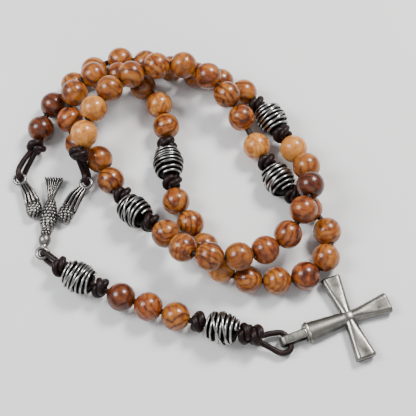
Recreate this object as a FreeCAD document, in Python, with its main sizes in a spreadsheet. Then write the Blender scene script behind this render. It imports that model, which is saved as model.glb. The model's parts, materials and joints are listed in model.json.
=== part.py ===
import FreeCAD, Part
import math
import os
from FreeCAD import Vector, Rotation, Placement

# A five-decade rosary laid in a double spiral on a flat surface. Millimetres, +Z up, the surface at z = 0,
# and the origin under the middle of the layout. Bored wooden beads and wire-wrapped metal beads are
# threaded on a knotted round leather cord; a cast dove joins the two ends of the loop and carries the
# pendant cord, which ends in a cast cross.

doc = FreeCAD.newDocument("rosary")
sheet = doc.addObject("Spreadsheet::Sheet", "Sheet")

DIMENSIONS = [
    ("bead_diameter", 9.8),       # wooden bead, nominal 10 mm
    ("bead_bore", 3.4),
    ("bead_gap", 0.15),           # between neighbouring beads on the cord
    ("knot_gap", 0.5),            # between a knot and the bead beside it
    ("cord_diameter", 2.0),
    ("knot_diameter", 6.0),
    ("knot_length", 4.4),
    ("metal_core", 9.4),          # sphere under the wraps of a metal bead
    ("metal_ring", 4.85),         # radius on which the wraps are wound
    ("metal_wire", 1.4),
    ("metal_pitch", 1.52),
    ("metal_wraps", 7),
    ("eye_radius", 1.95),         # middle radius of the rings on the dove
    ("eye_wire", 1.3),
    ("eye_height", 2.9),          # height of the rings above the surface
    ("breast_diameter", 6.2),
    ("rump_diameter", 3.6),
    ("neck_diameter", 3.4),
    ("head_diameter", 4.2),
    ("bill_diameter", 2.2),
    ("bill_tip_diameter", 1.2),
    ("shoulder_diameter", 6.4),
    ("wing_thickness", 2.4),
    ("tail_thickness", 2.0),
    ("arm_length", 15.2),         # centre of the cross to the end of each arm
    ("arm_waist", 3.0),
    ("arm_flare", 7.6),
    ("cross_depth", 4.4),
    ("hub_depth", 3.0),
    ("bail_length", 9.4),
    ("bail_band", 3.2),
    ("bail_wall", 0.8),
    ("collar_length", 1.6),
]
for row, (alias, value) in enumerate(DIMENSIONS, start=1):
    sheet.set(f"A{row}", alias)
    sheet.set(f"B{row}", str(value))
    sheet.setAlias(f"B{row}", alias)
doc.recompute()


def size(alias):
    return float(getattr(sheet, alias))


# ---------------------------------------------------------------- cord routes

# Corner points of the loop's cord, from the dove's right wing to its left wing.
LOOP_ROUTE = [
    (-41.4, 11.2, 11.3), (-39.0, 24.5, 16.5), (-31.5, 39.0, 16.0), (-16.5, 48.0, 16.0),
    (-0.5, 49.0, 15.0), (12.5, 37.5, 12.0), (20.0, 24.5, 5.0), (26.5, 10.0, 6.0),
    (36.5, -3.0, 5.0), (46.0, -10.0, 5.0), (48.0, -21.5, 5.0), (41.0, -31.0, 5.0),
    (25.5, -33.5, 5.0), (8.5, -30.5, 5.0), (0.5, -14.5, 5.0), (-9.5, 0.0, 6.0),
    (-10.0, 16.5, 6.0), (-11.5, 35.5, 5.0), (-22.0, 48.5, 5.0), (-37.0, 47.5, 13.0),
    (-46.0, 38.5, 13.0), (-47.0, 28.0, 5.5), (-43.2, 18.5, 5.0), (-31.3, 13.4, 5.0),
    (-30.0, -1.0, 5.5), (-12.0, -14.0, 7.5), (-2.5, -27.5, 16.0), (14.5, -28.5, 14.5),
    (31.5, -20.5, 9.0), (40.0, -6.0, 17.0), (41.0, 8.0, 10.5), (33.0, 21.5, 6.0),
    (25.0, 36.5, 6.0), (13.5, 46.5, 5.0), (-2.5, 51.0, 5.0), (-17.5, 55.5, 5.0),
    (-32.0, 58.5, 5.0), (-46.0, 47.0, 5.0), (-57.0, 32.5, 5.0), (-58.4, 16.5, 5.0),
]
# Corner points of the pendant's cord, from under the dove's beak to the cross.
PENDANT_ROUTE = [
    (-47.4, -26.5, 4.7), (-38.5, -33.0, 6.4), (-26.5, -38.2, 5.2),
    (-2.5, -47.0, 5.2), (10.0, -49.9, 6.2), (21.5, -52.6, 4.8),
]
# Corner points of the loop at the pendant's end, through the bail of the cross.
END_LOOP_ROUTE = [
    (20.2, -51.4, 4.4), (26.0, -50.4, 2.5), (30.7, -50.2, 2.2), (33.1, -56.2, 2.2),
    (29.1, -57.9, 2.2), (25.3, -55.4, 2.5), (20.2, -53.4, 4.4),
]
ARC_SHARE = 0.45      # share of the shorter run that each arc takes


def rounded_wire(points, name):
    """Straight runs joined by tangent arcs, as one wire. Prints the arcs' radii."""
    corners = [Vector(*p) for p in points]
    edges = []
    radii = []
    here = corners[0]
    for before, corner, after in zip(corners, corners[1:], corners[2:]):
        run_in = corner - before
        run_out = after - corner
        turn = run_in.getAngle(run_out)
        reach = ARC_SHARE * min(run_in.Length, run_out.Length)
        unit_in = Vector(run_in).normalize()
        unit_out = Vector(run_out).normalize()
        start = corner - unit_in * reach
        end = corner + unit_out * reach
        radius = reach / math.tan(turn / 2)
        inward = (unit_out - unit_in).normalize()
        middle = corner + inward * (radius / math.cos(turn / 2) - radius)
        edges.append(Part.LineSegment(here, start).toShape())
        edges.append(Part.Arc(start, middle, end).toShape())
        radii.append(radius)
        here = end
    edges.append(Part.LineSegment(here, corners[-1]).toShape())
    wire = Part.Wire(edges)
    print(name, "length", round(wire.Length, 1), "arc radii", [round(r, 1) for r in radii])
    return wire


def tube(wire, name):
    """A round cord swept along a wire, with its volume compared with section times length."""
    radius = size("cord_diameter") / 2
    first = wire.OrderedEdges[0]
    ring = Part.Wire(Part.makeCircle(radius, first.valueAt(0), first.tangentAt(0)))
    shell = Part.BRepOffsetAPI.MakePipeShell(wire)
    shell.setTransitionMode(1)
    shell.add(ring)
    shell.build()
    shell.makeSolid()
    solid = shell.shape()
    if solid.Volume < 0:
        solid.reverse()
    expected = math.pi * radius ** 2 * wire.Length
    print(name, "tube volume", round(solid.Volume, 1), "section x length", round(expected, 1))
    return solid


class Route:
    """Places along a wire, by distance from its start."""

    def __init__(self, wire):
        self.edges = wire.OrderedEdges
        self.starts = []
        total = 0.0
        for edge in self.edges:
            self.starts.append(total)
            total += edge.Length
        self.length = total

    def at(self, distance):
        index = max(i for i, start in enumerate(self.starts) if start <= max(distance, 0.0))
        edge = self.edges[index]
        along = min(distance - self.starts[index], edge.Length)
        return edge.valueAt(edge.getParameterByLength(along))

    def seat(self, distance, half_length):
        """Centre and axis of a straight bore that the curved cord passes with even room."""
        half_length = min(half_length, distance, self.length - distance)
        start = self.at(distance - half_length)
        end = self.at(distance + half_length)
        centre = ((start + end) * 0.5 + self.at(distance)) * 0.5
        return centre, (end - start).normalize()

    def next_seat(self, distance, centre, half_length, spacing):
        """Where the next item sits when its centre is one spacing away from this centre."""
        low, high = distance, min(distance + 1.6 * spacing, self.length - END_MARGIN)
        for _ in range(40):
            middle = (low + high) / 2
            if (self.seat(middle, half_length)[0] - centre).Length < spacing:
                low = middle
            else:
                high = middle
        return low


# ---------------------------------------------------------------- what is on the cords

BEAD, METAL, KNOT = "bead", "metal", "knot"
HALF_LENGTH = {
    BEAD: size("bead_diameter") / 2,
    METAL: size("metal_pitch") * (size("metal_wraps") - 1) / 2 + size("metal_wire") / 2,
    KNOT: size("knot_length") / 2,
}
DECADES = 5
BEADS_IN_DECADE = 10
# Places where the beads have slid apart and a little bare cord shows: (decade, bead before the gap).
SLACK = {(1, 9): 2.2, (2, 1): 0.6, (3, 10): 0.5, (5, 6): 0.8, (5, 8): 1.4, (5, 9): 1.0, (5, 10): 1.2}
FIRST_KNOT = 1.5      # from the start of the cord to the middle of its first knot
END_MARGIN = 0.5      # the last item's middle stays this far from the end of the cord


def loop_items():
    """(kind, name, slack after it) for everything on the loop, in order."""
    items = [(KNOT, "loop_knot0", 0.0)]
    for decade in range(1, DECADES + 1):
        for bead in range(1, BEADS_IN_DECADE + 1):
            slack = SLACK.get((decade, bead), 0.0)
            items.append((BEAD, f"decade{decade}_bead{bead:02d}", slack))
        items.append((KNOT, f"loop_knot{2 * decade - 1}", 0.0))
        if decade < DECADES:
            items.append((METAL, f"our_father_bead{decade}", 0.0))
            items.append((KNOT, f"loop_knot{2 * decade}", 0.0))
    return items


def pendant_items():
    """(kind, name, slack after it) for everything on the pendant, from the dove to the cross."""
    return [
        (KNOT, "pendant_knot0", 0.0),
        (METAL, "pendant_our_father_upper", 0.0),
        (KNOT, "pendant_knot1", 0.6),
        (BEAD, "pendant_bead1", 0.0),
        (BEAD, "pendant_bead2", 0.0),
        (BEAD, "pendant_bead3", 0.0),
        (KNOT, "pendant_knot2", 0.6),
        (METAL, "pendant_our_father_lower", 0.0),
        (KNOT, "pendant_knot3", 0.0),
    ]


def thread(route, items):
    """Centre and axis of each item, stepped along the route by chords."""
    seats = {}
    distance = FIRST_KNOT
    for index, (kind, name, slack) in enumerate(items):
        half = HALF_LENGTH[kind]
        centre, axis = route.seat(distance, half)
        seats[name] = (kind, centre, axis)
        if index + 1 < len(items):
            next_kind = items[index + 1][0]
            gap = size("knot_gap") if KNOT in (kind, next_kind) else size("bead_gap")
            next_half = HALF_LENGTH[next_kind]
            spacing = half + next_half + gap + slack
            distance = route.next_seat(distance, centre, next_half, spacing)
    print("cord left past the last item", round(route.length - distance, 2))
    return seats


loop_wire = rounded_wire(LOOP_ROUTE, "loop cord")
pendant_wire = rounded_wire(PENDANT_ROUTE, "pendant cord")
seats = thread(Route(loop_wire), loop_items())
seats.update(thread(Route(pendant_wire), pendant_items()))


def share_axis(names):
    """Puts neighbouring beads on one straight axis, so that they turn together."""
    centres = [seats[n][1] for n in names]
    axis = (centres[-1] - centres[0]).normalize()
    middle = sum(centres, Vector()) * (1 / len(centres))
    for name, centre in zip(names, centres):
        along = (centre - middle).dot(axis)
        seats[name] = (seats[name][0], middle + axis * along, axis)


PENDANT_BEADS = ["pendant_bead1", "pendant_bead2", "pendant_bead3"]
STRAIGHT_PAIR = ["decade5_bead02", "decade5_bead03"]
share_axis(PENDANT_BEADS)
share_axis(STRAIGHT_PAIR)


def seat_placement(name):
    centre, axis = seats[name][1:]
    return Placement(centre, Rotation(Vector(0, 0, 1), axis))


# ---------------------------------------------------------------- beads

def add(kind, name, **expressions):
    """A document object with its sizes bound to the sheet."""
    made = doc.addObject(kind, name)
    for prop, expression in expressions.items():
        made.setExpression(prop.replace("__", "."), expression)
    return made


def fuse(name, shapes):
    made = doc.addObject("Part::MultiFuse", name)
    made.Shapes = shapes
    return made


def cut(name, base, tool):
    made = doc.addObject("Part::Cut", name)
    made.Base = base
    made.Tool = tool
    return made


def bore(name, length_alias):
    """A long cylinder for the hole through a bead."""
    return add(
        "Part::Cylinder", name + "_bore",
        Radius="Sheet.bead_bore / 2",
        Height=f"2 * Sheet.{length_alias}",
        Placement__Base__z=f"-Sheet.{length_alias}",
    )


def wooden_bead(name):
    ball = add("Part::Sphere", name + "_ball", Radius="Sheet.bead_diameter / 2")
    made = cut(name, ball, bore(name, "bead_diameter"))
    made.Placement = seat_placement(name)
    return made


def metal_bead(name):
    """A ball wound with turns of round wire, each turn resting on the ball."""
    turns = [add("Part::Sphere", name + "_core", Radius="Sheet.metal_core / 2")]
    for index in range(int(size("metal_wraps"))):
        height = f"(({index} - (Sheet.metal_wraps - 1) / 2) * Sheet.metal_pitch)"
        turn = add(
            "Part::Torus", f"{name}_wrap{index}",
            Radius1=f"sqrt(Sheet.metal_ring ^ 2 - {height} ^ 2)",
            Radius2="Sheet.metal_wire / 2",
            Placement__Base__z=height,
        )
        turns.append(turn)
    made = cut(name, fuse(name + "_wound", turns), bore(name, "metal_core"))
    made.Placement = seat_placement(name)
    return made


def group(name, members):
    made = doc.addObject("Part::Compound", name)
    made.Links = members
    return made


nodes = {}
together = {name: "pendant_hail_mary_beads" for name in PENDANT_BEADS}
together.update({name: "decade5_bead02_03" for name in STRAIGHT_PAIR})
groups = {}
for name, (kind, _, _) in seats.items():
    if kind == METAL:
        nodes[name] = metal_bead(name)
    elif kind == BEAD and name in together:
        groups.setdefault(together[name], []).append(wooden_bead(name))
    elif kind == BEAD:
        nodes[name] = wooden_bead(name)
for name, members in groups.items():
    nodes[name] = group(name, members)


# ---------------------------------------------------------------- dove

# The dove lies on its back. Its own frame has its origin on the surface between the two wing
# rings, +Y towards the tail and +X towards the right wing.
DOVE_PLACE = Placement(Vector(-51.75, 6.4, 0), Rotation(Vector(0, 0, 1), -3.7))
WING_EYE_X = 12.1
BEAK_EYE_AT = (0.1, -28.1)
BREAST_AT = (0.3, -14.4)
HEAD_AT = (0.1, -22.4)
SHOULDER_AT = (5.3, -11.8)
RUMP_Y = -5.4
NECK_Y = -21.2
BILL_TIP_Y = -26.6
OVERLAP = 0.3          # share of a ball's diameter by which a taper starts inside it
BODY_HEIGHT = 2.2      # of the axis of the body above the surface
WING_BASE = 1.0
TAIL_BASE = 0.9
WING_OUTLINE = [
    (9.0, -10.5), (9.9, -6.0), (11.6, -2.4), (10.2, -1.6),
    (7.6, -3.6), (4.6, -9.5), (4.9, -14.0), (7.6, -14.6),
]
TAIL_OUTLINE = [
    (-1.6, -6.4), (-2.2, -2.6), (-3.6, 1.9), (-2.0, 2.5), (2.0, 2.5), (3.6, 1.9), (2.2, -2.6), (1.6, -6.4),
]


def plate(name, outline, thickness_alias, base_height):
    """A flat plate with a straight-sided outline."""
    sketch = doc.addObject("Sketcher::SketchObject", name + "_outline")
    sketch.Placement.Base = Vector(0, 0, base_height)
    for (ax, ay), (bx, by) in zip(outline, outline[1:] + outline[:1]):
        sketch.addGeometry(Part.LineSegment(Vector(ax, ay, 0), Vector(bx, by, 0)), False)
    made = doc.addObject("Part::Extrusion", name)
    made.Base = sketch
    made.DirMode = "Normal"
    made.Solid = True
    made.setExpression("LengthFwd", f"Sheet.{thickness_alias}")
    return made


def eye(name, x, y):
    """A ring that lies level, for a cord to be looped through."""
    made = add(
        "Part::Torus", name,
        Radius1="Sheet.eye_radius",
        Radius2="Sheet.eye_wire / 2",
        Placement__Base__z="Sheet.eye_height",
    )
    made.Placement.Base.x = x
    made.Placement.Base.y = y
    return made


def round_mass(name, place, diameter):
    made = add("Part::Sphere", name, Radius=f"Sheet.{diameter} / 2")
    made.Placement.Base = Vector(place[0], place[1], BODY_HEIGHT)
    return made


def taper(name, place, far_y, diameters):
    """A round taper along the body, from inside the ball at a place to a point further along."""
    way = 1 if far_y > place[1] else -1
    made = add(
        "Part::Cone", name,
        Radius1=f"0.94 * Sheet.{diameters[0]} / 2",
        Radius2=f"Sheet.{diameters[1]} / 2",
        Height=f"{abs(far_y - place[1])} - {OVERLAP} * Sheet.{diameters[0]} / 2",
        Placement__Base__x=f"{place[0]}",
        Placement__Base__y=f"{place[1]} + {way * OVERLAP} * Sheet.{diameters[0]} / 2",
        Placement__Base__z=f"{BODY_HEIGHT}",
    )
    made.Placement.Rotation = Rotation(Vector(1, 0, 0), -90 * way)
    return made


def build_dove():
    pieces = [
        round_mass("breast", BREAST_AT, "breast_diameter"),
        taper("back", BREAST_AT, RUMP_Y, ("breast_diameter", "rump_diameter")),
        taper("neck", BREAST_AT, NECK_Y, ("breast_diameter", "neck_diameter")),
        round_mass("head", HEAD_AT, "head_diameter"),
        taper("bill", HEAD_AT, BILL_TIP_Y, ("bill_diameter", "bill_tip_diameter")),
        plate("dove_tail", TAIL_OUTLINE, "tail_thickness", TAIL_BASE),
        eye("beak_eye", *BEAK_EYE_AT),
    ]
    for side, label in ((-1, "left"), (1, "right")):
        outline = [(side * x, y) for x, y in WING_OUTLINE]
        pieces.append(plate(f"{label}_wing", outline, "wing_thickness", WING_BASE))
        shoulder_at = (side * SHOULDER_AT[0], SHOULDER_AT[1])
        pieces.append(round_mass(f"{label}_shoulder", shoulder_at, "shoulder_diameter"))
        pieces.append(eye(f"{label}_wing_eye", side * WING_EYE_X, 0.0))
    below = add("Part::Box", "below_surface", Length="80", Width="80", Height="10")
    below.Placement.Base = Vector(-40, -50, -10)
    made = cut("dove_centrepiece", fuse("dove_cast", pieces), below)
    made.Placement = DOVE_PLACE
    return made


nodes["dove_centrepiece"] = build_dove()

# ---------------------------------------------------------------- cross

# The cross lies flat. Its own frame has its origin at the middle of the cross, on the surface,
# with the bail on its -X side.
CROSS_PLACE = Placement(Vector(52.1, -45.0, 0), Rotation(Vector(0, 0, 1), 21.0))
ARM_BEND = 0.58        # share of the arm where its flare starts
BEND_SHARE = 0.3       # share of the widening that is reached by then


def arm_part(name, angle, share_from, share_to, widths, depths):
    """One tapering length of an arm, from a share of the arm's length to another."""
    made = add(
        "Part::Wedge", name,
        Xmin=f"-({widths[0]}) / 2", Xmax=f"({widths[0]}) / 2",
        Zmin=f"-({depths[0]}) / 2", Zmax=f"({depths[0]}) / 2",
        X2min=f"-({widths[1]}) / 2", X2max=f"({widths[1]}) / 2",
        Z2min=f"-({depths[1]}) / 2", Z2max=f"({depths[1]}) / 2",
        Ymin=f"{share_from} * Sheet.arm_length", Ymax=f"{share_to} * Sheet.arm_length",
        Placement__Base__z="Sheet.cross_depth / 2",
    )
    made.Placement.Rotation = Rotation(Vector(0, 0, 1), angle - 90)
    return made


def stadium(name, inset):
    """The bail's outline, a band bent round with a round outer end, smaller by inset all round."""
    half = f"(Sheet.cross_depth / 2 - {inset})"
    height = "Sheet.cross_depth / 2"
    far_centre = "(Sheet.arm_length + Sheet.collar_length / 2 + Sheet.bail_length - Sheet.cross_depth / 2)"
    block = add(
        "Part::Box", name + "_block",
        Length=f"{far_centre} - Sheet.arm_length - {inset}",
        Width="Sheet.bail_band", Height=f"2 * {half}",
        Placement__Base__x=f"-{far_centre}",
        Placement__Base__y="-Sheet.bail_band / 2",
        Placement__Base__z=f"{height} - {half}",
    )
    end = add(
        "Part::Cylinder", name + "_end",
        Radius=half, Height="Sheet.bail_band",
        Placement__Base__x=f"-{far_centre}",
        Placement__Base__y="Sheet.bail_band / 2",
        Placement__Base__z=height,
    )
    end.Placement.Rotation = Rotation(Vector(1, 0, 0), 90)
    return fuse(name, [block, end])


def build_cross():
    waist, flare = "Sheet.arm_waist", "Sheet.arm_flare"
    hub, depth = "Sheet.hub_depth", "Sheet.cross_depth"
    bend_width = f"({waist} + {BEND_SHARE} * ({flare} - {waist}))"
    bend_depth = f"({hub} + {BEND_SHARE} * ({depth} - {hub}))"
    pieces = []
    for index, angle in enumerate(range(0, 360, 90)):
        pieces.append(arm_part(f"arm{index}_neck", angle, 0, ARM_BEND,
                               (waist, bend_width), (hub, bend_depth)))
        pieces.append(arm_part(f"arm{index}_flare", angle, ARM_BEND, 1,
                               (bend_width, flare), (bend_depth, depth)))
    collar = add(
        "Part::Box", "collar",
        Length="Sheet.collar_length", Width="Sheet.arm_flare", Height="Sheet.cross_depth",
        Placement__Base__x="-Sheet.arm_length - Sheet.collar_length / 2",
        Placement__Base__y="-Sheet.arm_flare / 2",
    )
    bail = cut("bail", stadium("bail_outside", "0"), stadium("bail_hole", "Sheet.bail_wall"))
    made = fuse("cross", pieces + [collar, bail])
    made.Placement = CROSS_PLACE
    return made


nodes["cross"] = build_cross()

# ---------------------------------------------------------------- cords and their knots

WRAP_CLEARANCE = 0.15   # between the cord and the ring that it goes round
STRAND_OFFSET = 0.9     # of the two strands from the axis of the knot that holds them
FIRST_KNOTS = ("loop_knot0", "pendant_knot0")
LAST_KNOTS = ("loop_knot9", "pendant_knot3")


def knot_solid(name):
    """A tight knot: a ball cut flat where it faces its neighbours, with the cord along its axis."""
    _, centre, axis = seats[name]
    radius = size("knot_diameter") / 2
    latitude = math.degrees(math.asin(size("knot_length") / 2 / radius))
    low = -90 if name in FIRST_KNOTS else -latitude
    high = 90 if name in LAST_KNOTS else latitude
    return Part.makeSphere(radius, centre, axis, low, high, 360)


def eye_loop(eye_centre, outward, knot_name, name):
    """The doubled cord from a knot round the wire of a ring and back into the knot."""
    reach = (size("eye_wire") + size("cord_diameter")) / 2 + WRAP_CLEARANCE
    wrap = eye_centre + outward * size("eye_radius")
    up = Vector(0, 0, reach)
    inside = wrap - outward * reach
    beside = wrap + outward * reach
    knot = seats[knot_name][1]
    way = (wrap - knot).normalize()
    lift = Vector(0, 0, 1) - outward
    across = lift - way * lift.dot(way)
    across.normalize()
    across = across * STRAND_OFFSET
    corners = [knot + across, inside + up, inside - up, beside - up, knot - across]
    return rounded_wire([tuple(p) for p in corners], name)


def fused_cord(name, wires, knots):
    """One cord with its knots, as a single solid."""
    solids = [tube(wire, name) for wire in wires]
    solids += [knot_solid(knot) for knot in knots]
    whole = solids[0].multiFuse(solids[1:])
    made = doc.addObject("Part::Feature", name)
    made.Shape = whole.Solids[0] if len(whole.Solids) == 1 else whole
    made.Placement = Placement()
    return made


def dove_point(x, y):
    return DOVE_PLACE.multVec(Vector(x, y, size("eye_height")))


tail_way = DOVE_PLACE.Rotation.multVec(Vector(0, 1, 0))
right_loop = eye_loop(dove_point(WING_EYE_X, 0), tail_way, "loop_knot0", "right wing loop")
left_loop = eye_loop(dove_point(-WING_EYE_X, 0), tail_way, "loop_knot9", "left wing loop")
beak_eye = dove_point(*BEAK_EYE_AT)
to_knot = seats["pendant_knot0"][1] - beak_eye
to_knot.z = 0
to_knot.normalize()
beak_loop = eye_loop(beak_eye, to_knot, "pendant_knot0", "beak loop")
end_loop = rounded_wire(END_LOOP_ROUTE, "end loop")

loop_knots = [name for name, seat in seats.items() if seat[0] == KNOT and name.startswith("loop")]
pendant_knots = [name for name, seat in seats.items() if seat[0] == KNOT and name.startswith("pendant")]
nodes["loop_cord"] = fused_cord("loop_cord", [loop_wire, right_loop, left_loop], loop_knots)
nodes["pendant_cord"] = fused_cord("pendant_cord", [pendant_wire, beak_loop, end_loop], pendant_knots)

# ---------------------------------------------------------------- checks and export

for name, node in nodes.items():
    node.Label = name
doc.recompute()
for item in doc.Objects:
    if "Invalid" in item.State or "Error" in item.State:
        raise RuntimeError(f"{item.Name} failed: {item.State}")
for name, node in nodes.items():
    if node.Shape.isNull() or not node.Shape.isValid():
        raise RuntimeError(f"{name} has no valid shape")

os.makedirs("parts", exist_ok=True)
whole_box = FreeCAD.BoundBox()
for name, node in nodes.items():
    node.Shape.exportStep(f"parts/{name}.step")
    whole_box.add(node.Shape.optimalBoundingBox(False, False))
print(len(nodes), "nodes")
print("box", [round(v, 2) for v in (whole_box.XMin, whole_box.XMax, whole_box.YMin, whole_box.YMax,
                                    whole_box.ZMin, whole_box.ZMax)])
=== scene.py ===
import bpy
import json
import math
import numpy as np
from mathutils import Matrix, Vector


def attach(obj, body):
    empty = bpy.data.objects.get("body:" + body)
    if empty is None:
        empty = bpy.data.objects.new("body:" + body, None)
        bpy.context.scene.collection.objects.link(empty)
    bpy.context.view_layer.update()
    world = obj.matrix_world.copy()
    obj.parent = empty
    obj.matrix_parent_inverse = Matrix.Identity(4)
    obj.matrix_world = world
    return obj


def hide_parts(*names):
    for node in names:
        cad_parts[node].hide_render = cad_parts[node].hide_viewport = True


# A five-decade rosary in a double spiral on a pale surface. Metres, in the CAD model's frame.

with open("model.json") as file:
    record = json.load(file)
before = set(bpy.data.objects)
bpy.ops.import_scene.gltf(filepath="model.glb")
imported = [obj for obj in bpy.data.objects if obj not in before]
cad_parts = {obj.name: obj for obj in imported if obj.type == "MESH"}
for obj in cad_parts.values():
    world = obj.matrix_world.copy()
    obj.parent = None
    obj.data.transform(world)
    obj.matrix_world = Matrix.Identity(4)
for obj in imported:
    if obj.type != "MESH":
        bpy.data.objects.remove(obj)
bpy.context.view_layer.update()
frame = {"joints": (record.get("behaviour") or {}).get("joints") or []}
scene = bpy.context.scene
MM = 0.001
JOINTS = {joint["child"]: joint for joint in frame["joints"]}


# ---------------------------------------------------------------- camera and light

def aim(thing, target):
    way = Vector(target) - thing.location
    thing.rotation_euler = way.to_track_quat("-Z", "Y").to_euler()


CAMERA_TARGET = Vector((4.5, -3.0, 0.0)) * MM
CAMERA_ELEVATION = math.radians(65.5)
CAMERA_DISTANCE = 330 * MM
camera_data = bpy.data.cameras.new("camera")
camera_data.lens = 79.0
camera_data.sensor_width = 36.0
camera_data.clip_start = 0.01
camera = bpy.data.objects.new("camera", camera_data)
scene.collection.objects.link(camera)
camera.location = CAMERA_TARGET + CAMERA_DISTANCE * Vector(
    (0.0, -math.cos(CAMERA_ELEVATION), math.sin(CAMERA_ELEVATION)))
aim(camera, CAMERA_TARGET)
scene.camera = camera


def soft_light(name, place, side, power, colour):
    lamp = bpy.data.lights.new(name, "AREA")
    lamp.shape = "RECTANGLE"
    lamp.size = side[0]
    lamp.size_y = side[1]
    lamp.energy = power
    lamp.color = colour
    made = bpy.data.objects.new(name, lamp)
    made.location = place
    scene.collection.objects.link(made)
    aim(made, (0.0, 0.0, 0.0))


soft_light("window_light", (0.34, 0.36, 0.62), (0.22, 0.22), 9.0, (1.0, 0.985, 0.96))
soft_light("left_light", (-0.42, 0.02, 0.5), (0.26, 0.3), 4.5, (0.97, 0.985, 1.0))
soft_light("front_light", (0.1, -0.75, 0.6), (1.3, 0.7), 2.0, (1.0, 1.0, 1.0))
world = bpy.data.worlds.new("studio")
world.use_nodes = True
world.node_tree.nodes["Background"].inputs["Color"].default_value = (0.93, 0.95, 1.0, 1.0)
world.node_tree.nodes["Background"].inputs["Strength"].default_value = 0.45
scene.world = world


# ---------------------------------------------------------------- helpers for node materials

def new_material(name):
    material = bpy.data.materials.new(name)
    material.use_nodes = True
    tree = material.node_tree
    return material, tree.nodes, tree.links, tree.nodes["Principled BSDF"]


def math_node(nodes, links, operation, a, b=None):
    made = nodes.new("ShaderNodeMath")
    made.operation = operation
    for socket, value in zip(made.inputs, (a, b)):
        if value is None:
            continue
        if isinstance(value, (int, float)):
            socket.default_value = value
        else:
            links.new(value, socket)
    return made.outputs[0]


def noise_node(nodes, links, vector, scale, detail, rough=0.5):
    made = nodes.new("ShaderNodeTexNoise")
    made.inputs["Scale"].default_value = scale
    made.inputs["Detail"].default_value = detail
    made.inputs["Roughness"].default_value = rough
    links.new(vector, made.inputs["Vector"])
    return made


def ramp_node(nodes, links, factor, stops):
    made = nodes.new("ShaderNodeValToRGB")
    ramp = made.color_ramp
    while len(ramp.elements) < len(stops):
        ramp.elements.new(0.5)
    for element, (place, colour) in zip(ramp.elements, stops):
        element.position = place
        element.color = (*colour, 1.0)
    links.new(factor, made.inputs["Fac"])
    return made.outputs["Color"]


def mix_node(nodes, links, factor, a, b, blend="MIX"):
    made = nodes.new("ShaderNodeMix")
    made.data_type = "RGBA"
    made.blend_type = blend
    inputs = [made.inputs[0], made.inputs[6], made.inputs[7]]
    for socket, value in zip(inputs, (factor, a, b)):
        if isinstance(value, (int, float)):
            socket.default_value = value
        elif isinstance(value, tuple):
            socket.default_value = (*value, 1.0)
        else:
            links.new(value, socket)
    return made.outputs[2]


def bump_node(nodes, links, height, strength, distance):
    made = nodes.new("ShaderNodeBump")
    made.inputs["Strength"].default_value = strength
    made.inputs["Distance"].default_value = distance
    links.new(height, made.inputs["Height"])
    return made.outputs["Normal"]


# ---------------------------------------------------------------- materials

def leather_material(name, colour):
    """Dark round leather: fine creases across the grain and a waxy sheen."""
    material, nodes, links, shader = new_material(name)
    place = nodes.new("ShaderNodeTexCoord").outputs["Object"]
    grain = noise_node(nodes, links, place, 1400.0, 4.0, 0.6).outputs["Fac"]
    wear = noise_node(nodes, links, place, 260.0, 3.0).outputs["Fac"]
    dark = tuple(0.45 * c for c in colour)
    worn = tuple(min(1.0, 2.4 * c + 0.005) for c in colour)
    links.new(ramp_node(nodes, links, wear, [(0.3, dark), (0.55, colour), (0.78, worn)]),
              shader.inputs["Base Color"])
    links.new(ramp_node(nodes, links, grain, [(0.3, (0.34,) * 3), (0.75, (0.56,) * 3)]),
              shader.inputs["Roughness"])
    shader.inputs["Specular IOR Level"].default_value = 0.2
    links.new(bump_node(nodes, links, grain, 0.35, 0.00012), shader.inputs["Normal"])
    return material


def pewter_material(name, bright, dark, rough):
    """Cast or drawn metal, darker where the mesh's patina_and_painted_light attribute says so: real patina
    in its hollows, and the painted shade and painted highlights that each mesh puts on its undersides,
    sides and tops.
    """
    material, nodes, links, shader = new_material(name)
    place = nodes.new("ShaderNodeTexCoord").outputs["Object"]
    # This attribute holds real patina in hollows together with painted shade and painted highlights from
    # the meshes.
    darkening = nodes.new("ShaderNodeAttribute")
    darkening.attribute_name = "patina_and_painted_light"
    fine = noise_node(nodes, links, place, 1500.0, 3.0, 0.6).outputs["Fac"]
    smear = noise_node(nodes, links, place, 330.0, 3.0).outputs["Fac"]
    stain = math_node(nodes, links, "MULTIPLY", math_node(nodes, links, "SUBTRACT", smear, 0.5), 0.7)
    amount = math_node(nodes, links, "ADD", darkening.outputs["Fac"], stain)
    middle = tuple(0.5 * (a + b) for a, b in zip(bright, dark))
    links.new(ramp_node(nodes, links, amount, [(0.18, bright), (0.5, middle), (0.85, dark)]),
              shader.inputs["Base Color"])
    links.new(ramp_node(nodes, links, amount, [(0.1, (rough,) * 3), (0.9, (rough + 0.35,) * 3)]),
              shader.inputs["Roughness"])
    shader.inputs["Metallic"].default_value = 1.0
    links.new(bump_node(nodes, links, fine, 0.3, 0.00009), shader.inputs["Normal"])
    return material


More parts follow.
